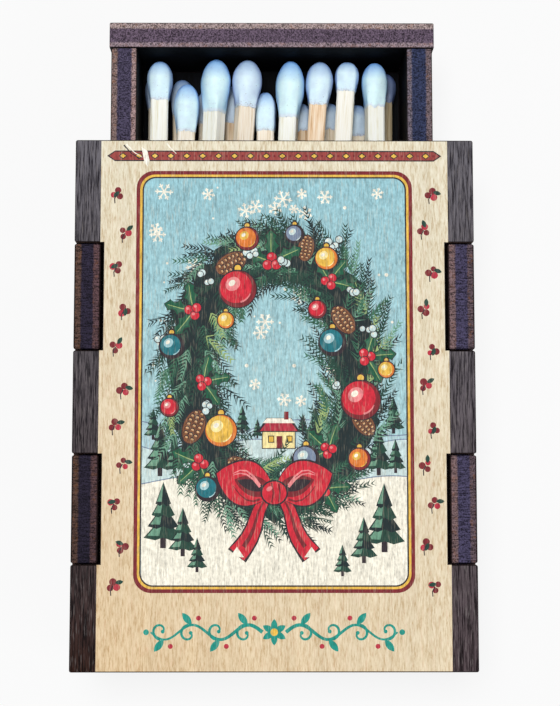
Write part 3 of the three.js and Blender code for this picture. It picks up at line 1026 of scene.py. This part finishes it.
def make_print():
    art = Print()
    art.add("cream", print_outline())
    draw_field(art)
    draw_margins(art)
    draw_foot(art)
    draw_wreath(art)
    draw_ornaments(art)
    draw_bow(art)
    draw_wear(art)
    materials = {"cream": cream_veneer("cream_veneer")}
    materials["sky"] = ink("ink_sky", srgb(142, 188, 198), near_color=srgb(176, 206, 206))
    for name, color in INK_COLORS.items():
        materials[name] = ink(f"ink_{name}", srgb(*color))
    art.make(materials)


# Matches


class Match:
    """Where a match lies and how big it is, measured on its CAD nodes."""

    def __init__(self, name):
        self.name = name
        stick = self.corners(f"{name}_stick")
        head = self.corners(f"{name}_head")
        middle = sum(stick, Vector()) / len(stick)
        first = stick[0]
        near = sorted(stick[1:], key=lambda corner: (corner - first).length)
        side = (near[0] - first).normalized()
        along = side.cross(near[1] - first).normalized()
        head_middle = sum(head, Vector()) / len(head)
        if along.dot(head_middle - middle) < 0:
            along = -along
        if side.x < 0:
            side = -side
        other = side.cross(along)
        self.stick_side = (near[0] - first).length
        reach = [(corner - middle).dot(along) for corner in head]
        self.head_length = max(reach) - min(reach)
        self.head_half = max(abs((corner - middle).dot(side)) for corner in head)
        tip = middle + along * max(reach)
        self.length = max(reach) - min((corner - middle).dot(along) for corner in stick)
        self.matrix = Matrix((side, along, other)).transposed().to_4x4()
        self.matrix.translation = tip * MM

    def corners(self, node):
        """The node's different vertices, in millimetres."""
        places = {tuple(round(c / MM, 3) for c in v.co) for v in frame["nodes"][node].data.vertices}
        return [Vector(place) for place in sorted(places)]


def tube_mesh(name, rings, smooth=True):
    """A closed body through rings of points, from its tip to its end, with a point in the middle
    of each end. Each ring has as many points as the others."""

    def build(work):
        made = [[work.verts.new(point) for point in ring] for ring in rings]
        around = len(rings[0])
        for first, second in zip(made, made[1:]):
            for i in range(around):
                j = (i + 1) % around
                work.faces.new((first[i], first[j], second[j], second[i]))
        for ring in (made[0], made[-1]):
            centre = work.verts.new(sum((v.co for v in ring), Vector()) / around)
            for i in range(around):
                work.faces.new((ring[i], ring[(i + 1) % around], centre))

    return mesh_from(name, build, smooth)


def rounded_square(half, angle, squareness):
    c, s = abs(cos(angle)) ** squareness, abs(sin(angle)) ** squareness
    return half / (c + s) ** (1 / squareness)


def dome(share):
    return sqrt(max(0.0, 1 - (1 - min(share, 1)) ** 2))


def noise_round(radius, angle, level):
    """Noise that closes on itself round a circle."""
    return noise.noise(Vector((*polar(0, 0, radius, angle), level)))


def set_number(mesh, name, values):
    attribute = mesh.attributes.new(name, "FLOAT", "POINT")
    attribute.data.foreach_set("value", values)


def add_match_part(match, part, mesh, numbers, material):
    """Puts a head or a stick where its CAD node lies. The whole mesh carries the numbers."""
    for name, value in numbers.items():
        set_number(mesh, name, [value] * len(mesh.vertices))
    node = f"{match.name}_{part}"
    piece = add_object(mesh.name, mesh, "tray", [material])
    piece.matrix_world = match.matrix
    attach(piece, "tray")
    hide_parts(node)


def make_head(match, numbers, material):
    """A dipped head: a bulb that tapers to the square stick and ends in a ragged collar."""
    seed = numbers["seed"]
    around, count = 44, 30
    angles = angles_round(around)
    skin, collar_skin = 0.14, 0.02  # how thick the coat is on the stick, and at its end
    ragged_edge, lump_share = 0.22, 0.03
    # Places along the head, as shares of its length
    stick_end, widest, ragged_from, thin_from, square_from = 0.45, 0.46, 0.6, 0.85, 0.985
    half_stick = match.stick_side / 2
    rim = half_stick + skin
    length = match.head_length
    rings = []
    shares = []
    steps = [0.015 + 0.985 * (i / (count - 1)) ** 1.35 for i in range(count)]
    steps.insert(-1, 0.997)
    for share in steps:
        past = max((share - widest) / (1 - widest), 0)
        ease = (past * past * (3 - 2 * past)) ** 1.25
        bulb = match.head_half * dome(share / widest) - (match.head_half - rim) * ease
        thinned = (skin - collar_skin) * max(0, (share - thin_from) / (1 - thin_from))
        skin_half = (rim - thinned) * dome(share / stick_end)
        pull = max(0.0, (share - ragged_from) / (1 - ragged_from)) ** 2
        ring = []
        for angle in angles:
            square = rounded_square(skin_half, angle, 10)
            reach = max(bulb, square)
            if bulb > 0 and square > 0:
                reach = (bulb**16 + square**16) ** (1 / 16) * 0.985
            if share > square_from:
                reach = square
            x, z = polar(0, 0, reach, angle)
            ragged = noise_round(3, angle, seed * 9.7) + 0.6 * noise_round(9, angle, seed * 5.3)
            y = -length * share - pull * ragged_edge * ragged
            lump = noise.noise(Vector((x * 0.8, y * 0.8, z * 0.8 + seed * 17.0)))
            swell = 1 + lump_share * lump * min(1, 3 * (1 - share))
            ring.append(Vector((x * swell, y, z * swell)) * MM)
        rings.append(ring)
        shares += [share] * around
    closing = [polar(0, 0, half_stick * 0.8, angle) for angle in angles]
    rings.append([Vector((x, -length * 0.9, z)) * MM for x, z in closing])
    shares += [1.0] * around + [0.0, 1.0]
    mesh = tube_mesh(f"{match.name}_dipped_head", rings)
    set_number(mesh, "along", shares)
    add_match_part(match, "head", mesh, numbers, material)


def make_stick(match, numbers, material):
    """A split stick: a square section with soft corners, slightly uneven along its fibres."""
    seed = numbers["seed"]
    around, count = 32, 26
    half = match.stick_side / 2
    start, end = match.head_length * 0.5, match.length
    rings = []
    for i in range(count):
        y = -(start + (end - start) * i / (count - 1))
        ring = []
        for angle in angles_round(around, 0.5):
            x, z = polar(0, 0, rounded_square(half, angle, 14), angle)
            fibre = noise.noise(Vector((x * 1.6, y * 0.05 + seed * 31.0, z * 1.6)))
            swell = 1 - 0.025 * (0.5 + fibre)
            ring.append(Vector((x * swell, y, z * swell)) * MM)
        rings.append(ring)
    mesh = tube_mesh(f"{match.name}_split_stick", rings, smooth=False)
    add_match_part(match, "stick", mesh, numbers, material)


# What differs between the matches, by row and number. A stick's tint goes from white wood to
# tan, a head's from sky blue to lavender, and a lower match's painted shade from lit to dim.
STICK_TINTS = {
    "upper": {1: 0.02, 2: 0.3, 3: 0.0, 4: 0.5, 5: 0.0, 6: 1.0, 7: 0.15, 8: 0.0},
    "lower": {4: 0.8, 6: 1.0},
}
HEAD_TINTS = {"upper": {1: 0.45, 2: 0.3, 4: 1.0, 6: 0.75, 7: 0.6}, "lower": {5: 0.5}}
PAINTED_SHADES = {"upper": {}, "lower": {1: 0.7, 5: 0.0, 9: 1.0}}
USUAL_STICK_TINT = 0.45
USUAL_HEAD_TINTS = {"upper": 0.0, "lower": 0.7}
USUAL_PAINTED_SHADES = {"upper": 0.0, "lower": 0.55}


def make_matches():
    coat = head_coat("dipped_coating")
    wood = stick_wood("split_softwood")
    names = sorted(node[: -len("_head")] for node in frame["nodes"] if node.endswith("_head"))
    for i, name in enumerate(names):
        match = Match(name)
        row, _, number = name.split("_")
        number = int(number)
        shade = PAINTED_SHADES[row].get(number, USUAL_PAINTED_SHADES[row])
        numbers = {"seed": 0.37 + i * 0.613, "lower": shade}
        head_tint = HEAD_TINTS[row].get(number, USUAL_HEAD_TINTS[row])
        stick_tint = STICK_TINTS[row].get(number, USUAL_STICK_TINT)
        make_head(match, numbers | {"tint": head_tint}, coat)
        make_stick(match, numbers | {"tint": stick_tint}, wood)


# The panels

SLEEVE_INSIDE = (srgb(22, 18, 19), srgb(50, 42, 42))
# The tray's inner faces are made near black, which paints the shade inside the tray.
TRAY_INSIDE_PAINTED_SHADE = (srgb(3, 4, 6), srgb(15, 16, 20))


def dress_panel(node, axis, outer_is_high, look, inside, grain="Y", **cut):
    """A panel of three-ply. `axis` is its thickness, and its outer face is at that axis's high or
    low end."""
    low, high = (corner["XYZ".index(axis)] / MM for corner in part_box(node))
    faces = (high, low) if outer_is_high else (low, high)
    wood = plywood(f"{node}_wood", axis, *faces, look, inside, grain)
    cut_sheet(node, wood, axis, **cut)


def make_sleeve():
    dress_panel("front_panel", "Z", True, SLEEVE_END, SLEEVE_INSIDE, lower_top_mm=INK_DEPTH)
    dress_panel("back_panel", "Z", False, SLEEVE_END, SLEEVE_INSIDE)
    for side, high, look in (("left", False, LEFT_FINGER), ("right", True, RIGHT_FINGER)):
        # The side panels' wider dark edges also paint the shade in the gaps round the fingers.
        dress_panel(f"{side}_side_panel", "X", high, look, SLEEVE_INSIDE, edge_mm=0.17)
        grit = striker_coat(f"{side}_striker_coat")
        cut_sheet(f"{side}_striker_strip", grit, "X", corner_mm=0.5)


def make_tray():
    dress_panel("tray_floor", "Z", False, TRAY_END, TRAY_INSIDE_PAINTED_SHADE)
    dress_panel("tray_left_wall", "X", False, LEFT_WALL, TRAY_INSIDE_PAINTED_SHADE)
    dress_panel("tray_right_wall", "X", True, RIGHT_WALL, TRAY_INSIDE_PAINTED_SHADE)
    dress_panel("tray_near_end", "Y", False, TRAY_END, TRAY_INSIDE_PAINTED_SHADE, grain="X")
    dress_panel("tray_far_end", "Y", True, TRAY_END, TRAY_INSIDE_PAINTED_SHADE, grain="X")


# Stage, light and camera

WHITE = (1.0, 1.0, 1.0, 1.0)


def make_floor():
    bpy.ops.mesh.primitive_plane_add(size=3.0, location=(0, 0, 0))
    floor = bpy.context.object
    floor.name = "pale_floor"
    shader = Shader("pale_floor")
    diffuse = shader.node("BsdfDiffuse", Color=(0.86, 0.86, 0.86, 1.0))
    glow = shader.node("Emission", Color=WHITE, Strength=0.975)
    floor.data.materials.append(shader.end(shader.seen_apart(diffuse, glow, share=0.86)))


def make_world():
    world = bpy.data.worlds.new("studio")
    bpy.context.scene.world = world
    shader = Shader("studio", world)
    ambient = shader.node("Background", Color=(0.93, 0.96, 1.0, 1.0), Strength=0.14)
    white = shader.node("Background", Color=WHITE, Strength=0.95)
    shader.end(shader.seen_apart(ambient, white), "OutputWorld")


def add_area_light(name, place, target, size, watts):
    light = bpy.data.lights.new(name, "AREA")
    light.shape = "DISK"
    light.size = size
    light.energy = watts
    lamp = bpy.data.objects.new(name, light)
    bpy.context.scene.collection.objects.link(lamp)
    lamp.location = place
    lamp.rotation_euler = (Vector(target) - Vector(place)).to_track_quat("-Z", "Y").to_euler()


def make_lights():
    middle = (0, 0.005, 0.015)
    add_area_light("overhead_softbox", (-0.05, 0.06, 0.60), middle, 0.22, 3.1)
    add_area_light("side_fill", (0.40, -0.22, 0.42), middle, 0.35, 0.5)


def make_camera():
    level = cos(CAMERA_PITCH)
    forward = Vector((sin(CAMERA_YAW) * level, sin(CAMERA_PITCH), -level * cos(CAMERA_YAW)))
    right = forward.cross(Vector((0, 1, 0))).normalized()
    up = right.cross(forward)
    data = bpy.data.cameras.new("camera")
    data.sensor_fit = "VERTICAL"
    data.sensor_height = 36.0
    data.lens = CAMERA_LENS
    data.clip_start = 0.01
    camera = bpy.data.objects.new("camera", data)
    bpy.context.scene.collection.objects.link(camera)
    place = (CAMERA_TARGET - forward * CAMERA_DISTANCE) * MM
    turn = Matrix((right, up, -forward)).transposed().to_4x4()
    camera.matrix_world = Matrix.Translation(place) @ turn
    bpy.context.scene.camera = camera


make_camera()
make_floor()
make_world()
make_lights()
make_sleeve()
make_tray()
make_print()
make_matches()

bpy.context.scene.view_settings.view_transform = "Standard"
